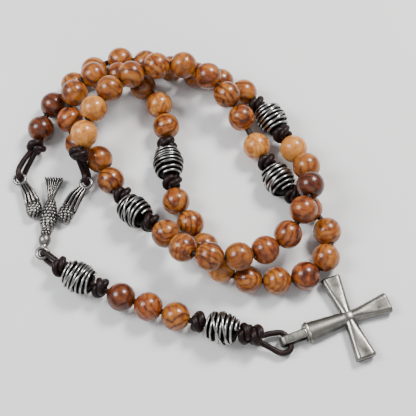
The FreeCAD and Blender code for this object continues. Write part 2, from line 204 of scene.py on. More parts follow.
def olive_wood(name, light, dark, ring_centre, tilt, ring_gap, contrast):
    """Varnished olive wood: curved growth rings with dark late wood, streaks and fine pores."""
    material, nodes, links, shader = new_material(name)
    coords = nodes.new("ShaderNodeTexCoord")
    turned = nodes.new("ShaderNodeMapping")
    turned.inputs["Scale"].default_value = (1000.0,) * 3
    turned.inputs["Rotation"].default_value = tilt
    turned.inputs["Location"].default_value = ring_centre
    links.new(coords.outputs["Object"], turned.inputs["Vector"])
    wobble = noise_node(nodes, links, turned.outputs["Vector"], 0.22, 3.0)
    shift = nodes.new("ShaderNodeVectorMath")
    shift.operation = "MULTIPLY_ADD"
    links.new(wobble.outputs["Color"], shift.inputs[0])
    shift.inputs[1].default_value = (3.4, 3.4, 3.4)
    links.new(turned.outputs["Vector"], shift.inputs[2])
    flat = nodes.new("ShaderNodeVectorMath")
    flat.operation = "MULTIPLY"
    links.new(shift.outputs[0], flat.inputs[0])
    flat.inputs[1].default_value = (1.0, 1.0, 0.22)
    far = nodes.new("ShaderNodeVectorMath")
    far.operation = "LENGTH"
    links.new(flat.outputs[0], far.inputs[0])
    phase = math_node(nodes, links, "DIVIDE", far.outputs["Value"], ring_gap)
    ring = math_node(nodes, links, "FRACT", phase)
    streak = noise_node(nodes, links, flat.outputs[0], 0.42, 4.0, 0.62).outputs["Fac"]
    pores = noise_node(nodes, links, flat.outputs[0], 5.5, 3.0, 0.6).outputs["Fac"]
    middle = tuple(0.55 * a + 0.45 * b for a, b in zip(light, dark))
    ringed = ramp_node(nodes, links, ring, [
        (0.0, middle), (0.2, light), (0.55, light), (0.78, middle), (0.92, dark), (1.0, middle)])
    streaked = ramp_node(nodes, links, streak, [(0.42, (1.0, 1.0, 1.0)), (0.54, (0.66, 0.46, 0.34)),
                                                (0.66, (0.26, 0.12, 0.07))])
    plain = mix_node(nodes, links, contrast ** 0.6, light, ringed)
    deep = mix_node(nodes, links, min(1.0, 0.35 + contrast), plain, streaked, "MULTIPLY")
    speck = ramp_node(nodes, links, pores, [(0.32, (0.62, 0.5, 0.42)), (0.46, (1.0, 1.0, 1.0))])
    links.new(mix_node(nodes, links, 0.7, deep, speck, "MULTIPLY"), shader.inputs["Base Color"])
    links.new(ramp_node(nodes, links, streak, [(0.3, (0.26,) * 3), (0.7, (0.38,) * 3)]),
              shader.inputs["Roughness"])
    shader.inputs["Specular IOR Level"].default_value = 0.3
    shader.inputs["Coat Weight"].default_value = 0.35
    shader.inputs["Coat Roughness"].default_value = 0.1
    shader.inputs["Subsurface Weight"].default_value = 0.04
    shader.inputs["Subsurface Scale"].default_value = 0.001
    links.new(bump_node(nodes, links, pores, 0.12, 0.00006), shader.inputs["Normal"])
    return material


LEATHER_COLOUR = (0.0115, 0.0032, 0.0026)
cord_leather = leather_material("cord_leather", LEATHER_COLOUR)
# Painted shade: the knots are the cord's own leather drawn 15 % darker.
shaded_knot_leather = leather_material("shaded_knot_leather", tuple(0.85 * c for c in LEATHER_COLOUR))
cast_pewter = pewter_material("cast_pewter", (0.27, 0.26, 0.245), (0.006, 0.0055, 0.005), 0.25)
cross_pewter = pewter_material("cross_pewter", (0.25, 0.24, 0.215), (0.011, 0.01, 0.0085), 0.25)
wire_pewter = pewter_material("wire_pewter", (0.42, 0.415, 0.4), (0.004, 0.0037, 0.0035), 0.2)


# ---------------------------------------------------------------- mesh helpers

def new_mesh(name, points, faces, material, patina_and_painted_light=None, smooth=True):
    mesh = bpy.data.meshes.new(name)
    mesh.from_pydata([tuple(p) for p in points], [], faces)
    mesh.update()
    if smooth:
        mesh.polygons.foreach_set("use_smooth", [True] * len(mesh.polygons))
    if patina_and_painted_light is not None:
        layer = mesh.attributes.new("patina_and_painted_light", "FLOAT", "POINT")
        layer.data.foreach_set("value", np.asarray(patina_and_painted_light, np.float32))
    mesh.materials.append(material)
    made = bpy.data.objects.new(name, mesh)
    scene.collection.objects.link(made)
    return made


def axis_matrix(centre, axis, spin=0.0):
    turn = Vector(axis).to_track_quat("Z", "Y").to_matrix().to_4x4()
    return Matrix.Translation(centre) @ turn @ Matrix.Rotation(spin, 4, "Z")


def put_at(made, matrix):
    """Turns the mesh itself and moves the object, so that its box stays tight."""
    made.data.transform(matrix.to_3x3().to_4x4())
    made.location = matrix.translation


def grid_faces(rings, sides, closed_rings=False):
    """Quads of a grid of rings, each ring closed on itself."""
    faces = []
    last = rings if closed_rings else rings - 1
    for i in range(last):
        k = (i + 1) % rings
        for j in range(sides):
            m = (j + 1) % sides
            faces.append((i * sides + j, i * sides + m, k * sides + m, k * sides + j))
    return faces


def capped_faces(rings, sides, turned=False):
    """The faces of a row of rings with a flat cap at each end, turned over where asked."""
    faces = grid_faces(rings, sides)
    faces.append(tuple(range(sides))[::-1])
    faces.append(tuple(range((rings - 1) * sides, rings * sides)))
    return [f[::-1] for f in faces] if turned else faces


def circle(radius, height, sides):
    """One level ring of points."""
    return [(radius * math.cos(2 * math.pi * j / sides), radius * math.sin(2 * math.pi * j / sides), height)
            for j in range(sides)]


def tube_mesh(path, radius, sides, closed=False):
    """A round tube along a path, with blunt points at open ends. The radius may be one per point."""
    path = np.asarray(path, float)
    count = len(path)
    radii = np.broadcast_to(np.asarray(radius, float), (count,))
    if closed:
        tangents = np.roll(path, -1, 0) - np.roll(path, 1, 0)
    else:
        tangents = np.gradient(path, axis=0)
    tangents /= np.linalg.norm(tangents, axis=1)[:, None]
    guess = np.array((0.0, 0.0, 1.0)) if abs(tangents[0][2]) < 0.9 else np.array((1.0, 0.0, 0.0))
    normal = np.cross(tangents[0], guess)
    normal /= np.linalg.norm(normal)
    frames = []
    for tangent in tangents:
        normal = normal - tangent * normal.dot(tangent)
        normal /= np.linalg.norm(normal)
        frames.append((normal, np.cross(tangent, normal)))
    twist = 0.0
    if closed:
        end = frames[-1][0] - tangents[0] * frames[-1][0].dot(tangents[0])
        twist = math.atan2(end.dot(frames[0][1]), end.dot(frames[0][0]))
    points = []
    for i in range(count):
        n, b = frames[i]
        back = twist * i / count
        for j in range(sides):
            angle = 2 * math.pi * j / sides - back
            points.append(path[i] + radii[i] * (math.cos(angle) * n + math.sin(angle) * b))
    faces = grid_faces(count, sides, closed)
    if not closed:
        for first, way in ((0, -1), ((count - 1) * sides, 1)):
            row = 0 if way < 0 else count - 1
            points.append(path[row] + tangents[row] * way * radii[row] * 0.6)
            tip = len(points) - 1
            for j in range(sides):
                a, b2 = first + j, first + (j + 1) % sides
                faces.append((a, b2, tip) if way > 0 else (b2, a, tip))
    return points, faces


def joined(parts):
    """Several (points, faces, patina_and_painted_light) lists as one."""
    points, faces, patina_and_painted_light = [], [], []
    for more_points, more_faces, more_patina_and_painted_light in parts:
        shift = len(points)
        points += [tuple(p) for p in more_points]
        faces += [tuple(i + shift for i in f) for f in more_faces]
        patina_and_painted_light += list(more_patina_and_painted_light)
    return points, faces, patina_and_painted_light


def finish_piece(made, body):
    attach(made, body)


# ---------------------------------------------------------------- wooden beads

BEAD_RADIUS = 4.9 * MM
BEAD_PITCH = 9.95 * MM
BEAD_SPREAD = 0.01
HOLE_RADIUS = 1.15 * MM
random = np.random.default_rng(7)

LIGHT = ((0.53, 0.225, 0.045), (0.24, 0.07, 0.012))
TAN = ((0.34, 0.118, 0.018), (0.045, 0.009, 0.002))
RED = ((0.29, 0.082, 0.013), (0.036, 0.0065, 0.002))
DARK = ((0.13, 0.031, 0.006), (0.011, 0.002, 0.001))
# Wood and strength of grain, bead by bead along the cord.
WOODS = {
    1: [(LIGHT, 0.25), (LIGHT, 0.3), (TAN, 0.6), (TAN, 0.8), (TAN, 0.7),
        (TAN, 0.5), (TAN, 0.7), (TAN, 0.9), (TAN, 0.9), (LIGHT, 0.35)],
    2: [(RED, 0.7), (TAN, 0.5), (TAN, 0.5), (RED, 0.8), (TAN, 0.6),
        (TAN, 0.8), (LIGHT, 0.5), (TAN, 0.8), (TAN, 1.0), (TAN, 1.0)],
    3: [(TAN, 1.0), (LIGHT, 0.6), (TAN, 0.8), (TAN, 0.6), (TAN, 0.6),
        (TAN, 0.6), (RED, 0.8), (TAN, 0.7), (TAN, 0.6), (TAN, 1.0)],
    4: [(TAN, 1.0), (TAN, 0.7), (TAN, 0.9), (TAN, 0.5), (RED, 0.5),
        (RED, 0.8), (RED, 0.6), (DARK, 0.8), (TAN, 0.4), (LIGHT, 0.15)],
    5: [(TAN, 0.7), (TAN, 0.7), (TAN, 0.8), (TAN, 0.6), (TAN, 0.9),
        (TAN, 0.7), (TAN, 0.7), (TAN, 0.7), (DARK, 0.7), (DARK, 0.8)],
    "pendant": [(DARK, 0.8), (RED, 0.7), (TAN, 1.0)],
}


def wooden_bead(name, centre, axis, body, wood, contrast, replaced=()):
    """A turned bead with a rounded hole at each end."""
    rings, sides = 30, 48
    radius = BEAD_RADIUS * (1.0 + BEAD_SPREAD * random.random())
    start = math.asin(HOLE_RADIUS / radius)
    profile = [(0.0, -radius * 0.62), (HOLE_RADIUS * 0.86, -radius * 0.66),
               (HOLE_RADIUS * 0.9, -radius * 0.9)]
    for i in range(rings + 1):
        angle = start + (math.pi - 2 * start) * i / rings
        lip = 0.988 if i in (0, rings) else 1.0
        profile.append((lip * radius * math.sin(angle), -lip * radius * math.cos(angle)))
    profile += [(r, -z) for r, z in reversed(profile[:3])]
    points = [(0.0, 0.0, profile[0][1])]
    for r, z in profile[1:-1]:
        points += circle(r, z, sides)
    points.append((0.0, 0.0, profile[-1][1]))
    count = len(profile) - 2
    faces = [tuple(i + 1 for i in f) for f in grid_faces(count, sides)]
    last = len(points) - 1
    top = 1 + (count - 1) * sides
    for j in range(sides):
        faces.append((0, 1 + (j + 1) % sides, 1 + j))
        faces.append((last, top + j, top + (j + 1) % sides))
    light, dark = wood
    shade = 0.9 + 0.22 * random.random()
    material = olive_wood(
        name + "_wood", tuple(c * shade for c in light), tuple(c * shade for c in dark),
        tuple(random.uniform(-4.5, 4.5, 3)), tuple(random.uniform(0.0, 3.1, 3)),
        1.3 + 1.2 * random.random(), contrast)
    made = new_mesh(name, points, faces, material)
    put_at(made, axis_matrix(centre, axis, random.uniform(0, 6.28)))
    finish_piece(made, body)
    for node in replaced:
        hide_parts(node)


def seat_of(node):
    """A bead's middle and its cord's way, from the hinge it turns on."""
    joint = JOINTS[node]
    return Vector(joint["pos_m"]), Vector(joint["axis"])


# Every wooden bead's middle, way and body. A pair and a trio of beads share a body each.
seats = {}
PAIR = "decade5_bead02_03"
TRIO = "pendant_hail_mary_beads"
for decade in range(1, 6):
    for bead in range(1, 11):
        name = f"decade{decade}_bead{bead:02d}"
        if name in JOINTS:
            seats[name] = (*seat_of(name), name)
first, way = seat_of(PAIR)
seats["decade5_bead02"] = (first, way, PAIR)
seats["decade5_bead03"] = (first + way * BEAD_PITCH, way, PAIR)
middle_seat, way = seat_of(TRIO)
for index in range(3):
    seats[f"pendant_bead{index + 1}"] = (middle_seat + way * BEAD_PITCH * (index - 1), way, TRIO)
for name, (centre, axis, body) in sorted(seats.items()):
    if name.startswith("pendant"):
        wood, contrast = WOODS["pendant"][int(name[-1]) - 1]
    else:
        wood, contrast = WOODS[int(name[6])][int(name[-2:]) - 1]
    replaced = [body] if name in (body, "decade5_bead02", "pendant_bead2") else []
    wooden_bead("wood_" + name, centre, axis, body, wood, contrast, replaced)


# ---------------------------------------------------------------- wire-wrapped beads

WRAP_HALF = 5.05 * MM
WRAP_RADIUS = 4.95 * MM
WRAP_END_SHARE = 0.42
CORE_DEPTH = 0.55 * MM
WIRE_WANDER = 0.12 * MM
# Turns, tilt, way of the tilt, lift over the barrel, share of the length, unevenness, wire radius.
WINDINGS = [
    (6.6, 0.6 * MM, 0.0, 0.0, 1.0, 0.26 * MM, 0.5 * MM),
    (2, 1.7 * MM, 1.1, 0.3 * MM, 0.6, 0.45 * MM, 0.45 * MM),
]


def barrel_radius(height):
    """The wound surface's radius at a height along the bead: a ball with blunt ends."""
    share = min(1.0, abs(height) / (WRAP_HALF * 1.12))
    return WRAP_RADIUS * (1.0 - WRAP_END_SHARE * share ** 2.6)


def wire_turns(turns, tilt, tilt_way, lift, spread, loose):
    """One wire wound round the bead, tilted and a little uneven."""
    steps = int(turns * 44)
    path = []
    offsets = random.uniform(-1, 1, int(turns) + 3)
    for i in range(steps + 1):
        share = i / steps
        angle = 2 * math.pi * turns * share
        at_turn = turns * share
        low = int(at_turn)
        ease = at_turn - low
        uneven = offsets[low] * (1 - ease) + offsets[low + 1] * ease
        height = (share - 0.5) * 2 * spread * WRAP_HALF
        height += tilt * math.sin(angle + tilt_way + 0.6 * uneven) + loose * uneven
        height = max(-WRAP_HALF, min(WRAP_HALF, height))
        radius = barrel_radius(height) + lift + WIRE_WANDER * uneven
        path.append((radius * math.cos(angle), radius * math.sin(angle), height))
    return path


def wrapped_bead(node, loose):
    """A core drawn in the darkest colour, painted shade between the turns, wound with wire that has a
    painted highlight along its outside and painted shade on its sides.
    """
    centre, axis = seat_of(node)
    core = []
    rings, sides = 22, 40
    for i in range(rings + 1):
        height = -WRAP_HALF + 2 * WRAP_HALF * i / rings
        core += circle(barrel_radius(height) - CORE_DEPTH, height * 0.97, sides)
    # Painted shade: the core is drawn in the darkest colour, so the gaps between the turns read black.
    parts = [(core, capped_faces(rings + 1, sides), [1.1] * len(core))]
    for turns, tilt, tilt_way, lift, spread, uneven, wire in WINDINGS:
        path = wire_turns(turns, tilt * (1 + 0.3 * loose), tilt_way + loose, lift, spread,
                          uneven * (1 + loose))
        points, faces = tube_mesh(path, wire, 8)
        # Painted highlight along the wire's outermost side, and painted shade on its sides and underside
        # towards the core.
        above = [math.hypot(p[0], p[1]) - barrel_radius(p[2]) - lift for p in points]
        parts.append((points, faces, [min(1.0, max(0.0, 1.9 - 1.8 * a / wire)) for a in above]))
    points, faces, patina_and_painted_light = joined(parts)
    made = new_mesh("wire_" + node, points, faces, wire_pewter, patina_and_painted_light)
    put_at(made, axis_matrix(centre, axis, random.uniform(0, 6.28)))
    finish_piece(made, node)
    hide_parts(node)


METALS = [f"our_father_bead{i}" for i in range(1, 5)]
METALS += ["pendant_our_father_upper", "pendant_our_father_lower"]
LOOSENESS = {"pendant_our_father_lower": 0.8, "our_father_bead3": 0.4}
USUAL_LOOSENESS = 0.15
for node in METALS:
    wrapped_bead(node, LOOSENESS.get(node, USUAL_LOOSENESS))


# ---------------------------------------------------------------- cords and knots

# The cords' ways between their end loops, in millimetres: corners of a smooth curve.
LOOP_ROUTE = [
    (-41.4, 11.2, 11.3), (-39.0, 24.5, 16.5), (-31.5, 39.0, 16.0), (-16.5, 48.0, 16.0),
    (-0.5, 49.0, 15.0), (12.5, 37.5, 12.0), (20.0, 24.5, 5.0), (26.5, 10.0, 6.0),
    (36.5, -3.0, 5.0), (46.0, -10.0, 5.0), (48.0, -21.5, 5.0), (41.0, -31.0, 5.0),
    (25.5, -33.5, 5.0), (8.5, -30.5, 5.0), (0.5, -14.5, 5.0), (-9.5, 0.0, 6.0),
    (-10.0, 16.5, 6.0), (-11.5, 35.5, 5.0), (-22.0, 48.5, 5.0), (-37.0, 47.5, 13.0),
    (-46.0, 38.5, 13.0), (-47.0, 28.0, 5.5), (-43.2, 18.5, 5.0), (-31.3, 13.4, 5.0),
    (-30.0, -1.0, 5.5), (-12.0, -14.0, 7.5), (-2.5, -27.5, 16.0), (14.5, -28.5, 14.5),
    (31.5, -20.5, 9.0), (40.0, -6.0, 17.0), (41.0, 8.0, 10.5), (33.0, 21.5, 6.0),
    (25.0, 36.5, 6.0), (13.5, 46.5, 5.0), (-2.5, 51.0, 5.0), (-17.5, 55.5, 5.0),
    (-32.0, 58.5, 5.0), (-46.0, 47.0, 5.0), (-57.0, 32.5, 5.0), (-58.4, 16.5, 5.0),
]
PENDANT_ROUTE = [
    (-47.4, -26.5, 4.7), (-38.5, -33.0, 6.4), (-26.5, -38.2, 5.2),
    (-2.5, -47.0, 5.2), (10.0, -49.9, 6.2), (21.5, -52.6, 4.8),
]
END_LOOP_ROUTE = [
    (26.0, -50.4, 2.5), (30.7, -50.2, 2.2), (33.1, -56.2, 2.2),
    (29.1, -57.9, 2.2), (25.3, -55.4, 2.5), (20.2, -53.4, 4.4),
]
CORD_RADIUS = 1.0 * MM
# From a bead's middle to the middle of the knot beside it, at the ends of the two cords.
KNOT_REACH = 7.6 * MM
END_KNOT_REACH = 7.96 * MM
# The dove's rings, in millimetres, and how far the cord's corners lie from the wire's middle.
EYE_HEIGHT = 2.9
EYE_RADIUS = 1.95
WRAP_REACH = 1.8
STRAND_SIDE = 0.8
STRAND_SIDE_INSIDE = 0.3

# The dove's own frame: origin on the surface between its wing rings, +Y to its tail.
swing = JOINTS["dove"]
dove_turn = Vector(swing["axis"])
DOVE_X = Vector((-dove_turn.x, -dove_turn.y, 0.0)).normalized()
DOVE_Y = Vector((-DOVE_X.y, DOVE_X.x, 0.0))
DOVE_ORIGIN = Vector(swing["pos_m"]) - DOVE_Y * EYE_RADIUS * MM - Vector((0, 0, EYE_HEIGHT * MM))
dove_matrix = Matrix.Translation(DOVE_ORIGIN) @ Matrix(
    (DOVE_X, DOVE_Y, Vector((0, 0, 1)))).transposed().to_4x4()


def dove_point(x, y, z):
    return dove_matrix @ Vector((x * MM, y * MM, z * MM))


BEAD_HALF = 4.9 * MM
METAL_HALF = 5.26 * MM


def gap_middle(bead, metal):
    """The middle and way of the free cord between a wooden bead and a wrapped one."""
    way = (metal - bead).normalized()
    free = (metal - bead).length - BEAD_HALF - METAL_HALF
    return bead + way * (BEAD_HALF + free / 2), way


knots = {}
centre, axis, _ = seats["decade1_bead01"]
knots["loop_knot0"] = (centre - axis * KNOT_REACH, axis, "loop")
centre, axis, _ = seats["decade5_bead10"]
knots["loop_knot9"] = (centre + axis * KNOT_REACH, axis, "loop")
for index in range(1, 5):
    metal, _ = seat_of(f"our_father_bead{index}")
    before = seats[f"decade{index}_bead10"][0]
    after = seats[f"decade{index + 1}_bead01"][0]
    middle, way = gap_middle(before, metal)
    knots[f"loop_knot{2 * index - 1}"] = (middle, way, "loop")
    middle, way = gap_middle(after, metal)
    knots[f"loop_knot{2 * index}"] = (middle, way, "loop")
upper, upper_axis = seat_of("pendant_our_father_upper")
lower, lower_axis = seat_of("pendant_our_father_lower")
knots["pendant_knot0"] = (upper - upper_axis * END_KNOT_REACH, upper_axis, "pendant")
knots["pendant_knot3"] = (lower + lower_axis * END_KNOT_REACH, lower_axis, "pendant")
middle, way = gap_middle(seats["pendant_bead1"][0], upper)
knots["pendant_knot1"] = (middle, way, "pendant")
middle, way = gap_middle(seats["pendant_bead3"][0], lower)
knots["pendant_knot2"] = (middle, way, "pendant")


def eye_corners(ring_at, outward, knot, lean=0.0):
    """Corner points of the doubled cord, from the knot over and round a ring's wire and back.
    The strands lie side by side, and lean moves both of them sideways."""
    wrap = ring_at + outward * EYE_RADIUS * MM
    reach = WRAP_REACH * MM
    up = Vector((0, 0, reach))
    inside = wrap - outward * reach
    beside = wrap + outward * reach
    side = outward.cross(Vector((0, 0, 1)))
    over = side * (lean - STRAND_SIDE) * MM
    under = side * (lean + STRAND_SIDE) * MM
    parting = side * STRAND_SIDE_INSIDE * MM
    return [knot + over, beside + up + over, inside + up - parting,
            inside - up + parting, beside - up + under, knot + under]


def cord_curve(name, corners):
    """One smooth open spline with the route's points as its control points."""
    curve = bpy.data.curves.new(name, "CURVE")
    curve.dimensions = "3D"
    curve.bevel_depth = CORD_RADIUS
    curve.bevel_resolution = 6
    curve.resolution_u = 12
    spline = curve.splines.new("NURBS")
    spline.points.add(len(corners) - 1)
    for point, corner in zip(spline.points, corners):
        point.co = (*corner, 1.0)
    spline.order_u = 3
    spline.use_endpoint_u = True
    curve.use_fill_caps = True
    curve.materials.append(cord_leather)
    made = bpy.data.objects.new(name, curve)
    scene.collection.objects.link(made)
    return made


WING_RING_X = 12.1
RIGHT_LEAN = -0.3
BEAK_RING = (0.1, -28.1)
right_ring = dove_point(WING_RING_X, 0, EYE_HEIGHT)
left_ring = dove_point(-WING_RING_X, 0, EYE_HEIGHT)
beak_ring = dove_point(*BEAK_RING, EYE_HEIGHT)
loop_points = eye_corners(right_ring, DOVE_Y, knots["loop_knot0"][0], RIGHT_LEAN)
loop_points += [Vector(p) * MM for p in LOOP_ROUTE]
loop_points += eye_corners(left_ring, DOVE_Y, knots["loop_knot9"][0])
to_knot = knots["pendant_knot0"][0] - beak_ring
to_knot.z = 0
pendant_points = eye_corners(beak_ring, to_knot.normalized(), knots["pendant_knot0"][0])
pendant_points += [Vector(p) * MM for p in PENDANT_ROUTE + END_LOOP_ROUTE]
loop_cord = cord_curve("leather_loop_cord", loop_points)
pendant_cord = cord_curve("leather_pendant_cord", pendant_points)
finish_piece(loop_cord, "loop")
finish_piece(pendant_cord, "pendant")
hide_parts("loop_cord")
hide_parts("pendant_cord")


KNOT_RING = 1.95 * MM
KNOT_SWELL = 0.78 * MM
KNOT_RISE = 1.12 * MM
KNOT_STRAND = 1.2 * MM
KNOT_SPIN_STEP = 0.9
END_COIL_REACH = 3.9 * MM
END_COIL_SPIN = 0.4


def knot_piece(name, centre, axis, body, spin):
    """An overhand knot pulled tight: two coils of the cord round itself, with a crossing strand."""
    steps = 150
    path = []
    for i in range(steps):
        t = 2 * math.pi * i / steps
        ring = KNOT_RING + KNOT_SWELL * math.cos(3 * t)
        path.append((ring * math.cos(2 * t), ring * math.sin(2 * t), KNOT_RISE * math.sin(3 * t)))
    points, faces = tube_mesh(path, KNOT_STRAND, 16, closed=True)
    made = new_mesh(name, points, faces, shaded_knot_leather)
    put_at(made, axis_matrix(centre, axis, spin))
    finish_piece(made, body)
    return made


knot_pieces = {"loop": [], "pendant": []}
for index, (name, (centre, axis, body)) in enumerate(sorted(knots.items())):
    knot_pieces[body].append(knot_piece("tied_" + name, centre, axis, body, KNOT_SPIN_STEP * index))
# A second coil, beside the last knot, towards the cross.
centre, axis, body = knots["pendant_knot3"]
if axis.dot(Vector(END_LOOP_ROUTE[0]) * MM - centre) < 0:
    axis = -axis
knot_pieces[body].append(
    knot_piece("tied_end_coil", centre + axis * END_COIL_REACH, axis, body, END_COIL_SPIN))


# ---------------------------------------------------------------- floor

FLOOR_HALF = 1.4
FLOOR_DROP = 0.02 * MM
floor_material, nodes, links, shader = new_material("pale_board")
place = nodes.new("ShaderNodeTexCoord").outputs["Object"]
mottle = noise_node(nodes, links, place, 9.0, 3.0).outputs["Fac"]
links.new(ramp_node(nodes, links, mottle, [(0.3, (0.67, 0.665, 0.66)), (0.7, (0.71, 0.705, 0.7))]),
          shader.inputs["Base Color"])
shader.inputs["Roughness"].default_value = 0.55
floor = new_mesh("floor", [(-FLOOR_HALF, -FLOOR_HALF, 0), (FLOOR_HALF, -FLOOR_HALF, 0),
                           (FLOOR_HALF, FLOOR_HALF, 0), (-FLOOR_HALF, FLOOR_HALF, 0)],
                 [(0, 1, 2, 3)], floor_material, smooth=False)
floor.location.z = -FLOOR_DROP

# ---------------------------------------------------------------- dove centrepiece

# The castings' backs are flat at this height over the surface, in millimetres.
LOWEST = 0.03


def grain_dots(radii, gap):
    """Places of the raised dots on an ellipsoid: rows across its length, each row half a step on."""
    dots = []
    rows = max(3, round(math.pi * (radii[1] + 0.5 * radii[0]) / 1.5 / (0.88 * gap)))
    for row in range(rows):
        polar = math.pi * (row + 0.5) / rows
        count = max(3, round(2 * math.pi * radii[0] * math.sin(polar) / (1.14 * gap)))
        for step in range(count):
            angle = 2 * math.pi * (step + 0.5 * (row % 2)) / count
            dots.append((radii[0] * math.sin(polar) * math.cos(angle), radii[1] * math.cos(polar),
                         radii[2] * math.sin(polar) * math.sin(angle)))
    return np.array(dots)


def round_mass(centre, radii, grain_height=0.0, gap=1.2, taper=0.0):
    """An ellipsoid along y, narrowed by taper towards +y, and covered with raised dots a gap
    apart where they have a height. Sizes in millimetres."""
    rings, sides = 60, 72
    points, patina_and_painted_light = [], []
    grained = grain_height > 0
    dots = grain_dots(radii, gap) if grained else None
    for i in range(rings + 1):
        polar = math.pi * (0.02 + 0.96 * i / rings)
        for j in range(sides):
            angle = 2 * math.pi * j / sides
            way = np.array((math.sin(polar) * math.cos(angle), math.cos(polar),
                            math.sin(polar) * math.sin(angle)))
            raised = 0.0
            if grained:
                nearest = float(np.min(np.linalg.norm(dots - way * np.array(radii), axis=1)))
                raised = max(0.0, 1 - (nearest / (0.53 * gap)) ** 2) ** 0.5
            narrow = np.array((1 - taper * way[1], 1, 1 - 0.5 * taper * way[1]))
            point = way * narrow * (np.array(radii) + grain_height * raised) + np.array(centre)
            point[2] = max(point[2], LOWEST)
            points.append(tuple(point * MM))
            # Dotted masses: real patina between the raised dots. Smooth masses: painted shade, darker
            # towards the underside.
            patina_and_painted_light.append(min(1.0, 1.25 * (1 - raised)) if grained else 0.3 + 0.3 * (1 - way[2]))
    return points, capped_faces(rings + 1, sides, turned=True), patina_and_painted_light


def quill(path, widths, depths):
    """A feather: a bowed bar with a ridge along its top, drawn with a painted highlight along its top and
    painted shade on its sides and underside. Sizes in millimetres.
    """
    sides, steps = 16, 18
    path = np.asarray(path, float)
    knots_at = np.linspace(0, 1, len(path))
    points, patina_and_painted_light = [], []
    places = np.linspace(0, 1, steps + 1)
    line = np.stack([np.interp(places, knots_at, path[:, k]) for k in range(3)], 1)
    for _ in range(4):
        line[1:-1] = 0.25 * line[:-2] + 0.5 * line[1:-1] + 0.25 * line[2:]
    tangents = np.gradient(line, axis=0)
    for i, share in enumerate(places):
        way = tangents[i] / np.linalg.norm(tangents[i])
        side = np.cross(way, (0, 0, 1))
        side /= np.linalg.norm(side)
        over = np.cross(side, way)
        round_end = math.sqrt(max(0.05, 1 - max(0.0, (abs(share - 0.5) - 0.4) / 0.1) ** 2))
        half = np.interp(share, (0, 1), widths) / 2 * round_end
        tall = np.interp(share, (0, 1), depths) / 2 * round_end
        for j in range(sides):
            angle = 2 * math.pi * j / sides
            rise = math.sin(angle)
            ridge = 1 + 0.25 * max(0.0, rise) ** 6
            point = line[i] + side * half * math.cos(angle) + over * tall * rise * ridge
            point[2] = max(point[2], LOWEST)
            points.append(tuple(point * MM))
            # Painted highlight along the top of the feather, painted shade on its sides and underside.
            patina_and_painted_light.append(min(1.0, max(0.0, 1.0 - 1.05 * max(0.0, rise) ** 0.8)))
    return points, capped_faces(steps + 1, sides, turned=True), patina_and_painted_light


def backing(tip, root, widths):
    """The dark plate that the feathers of a wing or the tail are raised from."""
    points, faces, _ = quill([tip, (np.array(tip) + np.array(root)) / 2, root], widths, (1.8, 1.8))
    return points, faces, [1.0] * len(points)


def beaded_ring(centre, radius, wire):
    """A level ring with shallow turned grooves."""
    count, sides = 60, 14
    path = [((centre[0] + radius * math.cos(2 * math.pi * i / count)) * MM,
             (centre[1] + radius * math.sin(2 * math.pi * i / count)) * MM, centre[2] * MM)
            for i in range(count)]
    ripple = [wire / 2 * (1 - 0.07 * (i % 5 == 0)) * MM for i in range(count)]
    points, faces = tube_mesh(path, ripple, sides, closed=True)
    # Painted shade: the ring is drawn darker from its middle height downwards and lightest along its top.
    patina_and_painted_light = [0.2 + 0.5 * (1 - max(0.0, (p[2] / MM - centre[2]) / (wire / 2))) for p in points]
    return points, faces, patina_and_painted_light


def wing(tip, root, spread_tip, spread_root, bow):
    """Four long feathers from the shoulder up to the wing's ring."""
    made = []
    tip, root = np.array(tip, float), np.array(root, float)
    along = (root - tip) / np.linalg.norm(root - tip)
    across = np.array((along[1], -along[0], 0.0))
    for index in range(4):
        share = (index - 1.5) / 1.5
        start = tip + across * share * spread_tip - along * 0.35 * abs(share)
        end = root + across * share * spread_root
        middle = (start + end) / 2 + across * bow * (1 + 0.4 * share) + np.array((0, 0, 0.55))
        made.append(quill([start, middle, end], (0.8, 1.35), (1.7, 2.3)))
    return made


RING_WIRE = 1.3
LEFT_SHOULDER = (-5.4, -11.3, 2.35)
RIGHT_SHOULDER = (6.2, -12.5, 2.35)
dove_parts = [
    round_mass((0.3, -12.9, 2.3), (2.6, 6.9, 2.35), 0.4, 1.15, 0.3),
    round_mass(LEFT_SHOULDER, (2.5, 3.4, 2.45), 0.35, 1.15),
    round_mass(RIGHT_SHOULDER, (2.55, 3.3, 2.45), 0.35, 1.15),
    round_mass((0.15, -19.9, 2.3), (1.7, 2.6, 1.7), 0.25, 1.0),
    round_mass((0.1, -22.9, 2.5), (2.15, 2.5, 2.0)),
    round_mass((0.1, -25.5, 2.6), (1.25, 1.6, 1.05)),
    backing((-11.0, -1.6, 1.3), (-6.0, -10.5, 1.5), (2.2, 5.0)),
    backing((11.3, -1.7, 1.3), (7.0, -11.5, 1.5), (2.2, 5.0)),
    backing((0.0, 1.4, 1.2), (0.0, -7.0, 1.6), (6.0, 1.8)),
    round_mass((1.15, -23.3, 3.95), (0.42, 0.42, 0.35)),
    round_mass((-0.95, -23.3, 3.95), (0.42, 0.42, 0.35)),
]
for ring_x, ring_y in (BEAK_RING, (WING_RING_X, 0.0), (-WING_RING_X, 0.0)):
    dove_parts.append(beaded_ring((ring_x, ring_y, EYE_HEIGHT), EYE_RADIUS, RING_WIRE))
dove_parts += wing((-10.7, -1.5, 2.4), (-6.0, -9.6, 2.7), 1.15, 2.35, -0.5)
dove_parts += wing((11.2, -1.6, 2.4), (7.0, -10.6, 2.7), 1.15, 2.35, 0.5)
TAIL_FEATHERS = 7
TAIL_COVERTS = 4
for share in np.linspace(-1, 1, TAIL_FEATHERS):
    dove_parts.append(quill([(0.9 * share, -6.6, 2.1), (1.8 * share, -2.6, 2.3), (3.15 * share, 2.0, 1.9)],
                            (0.4, 0.98), (2.0, 2.1)))
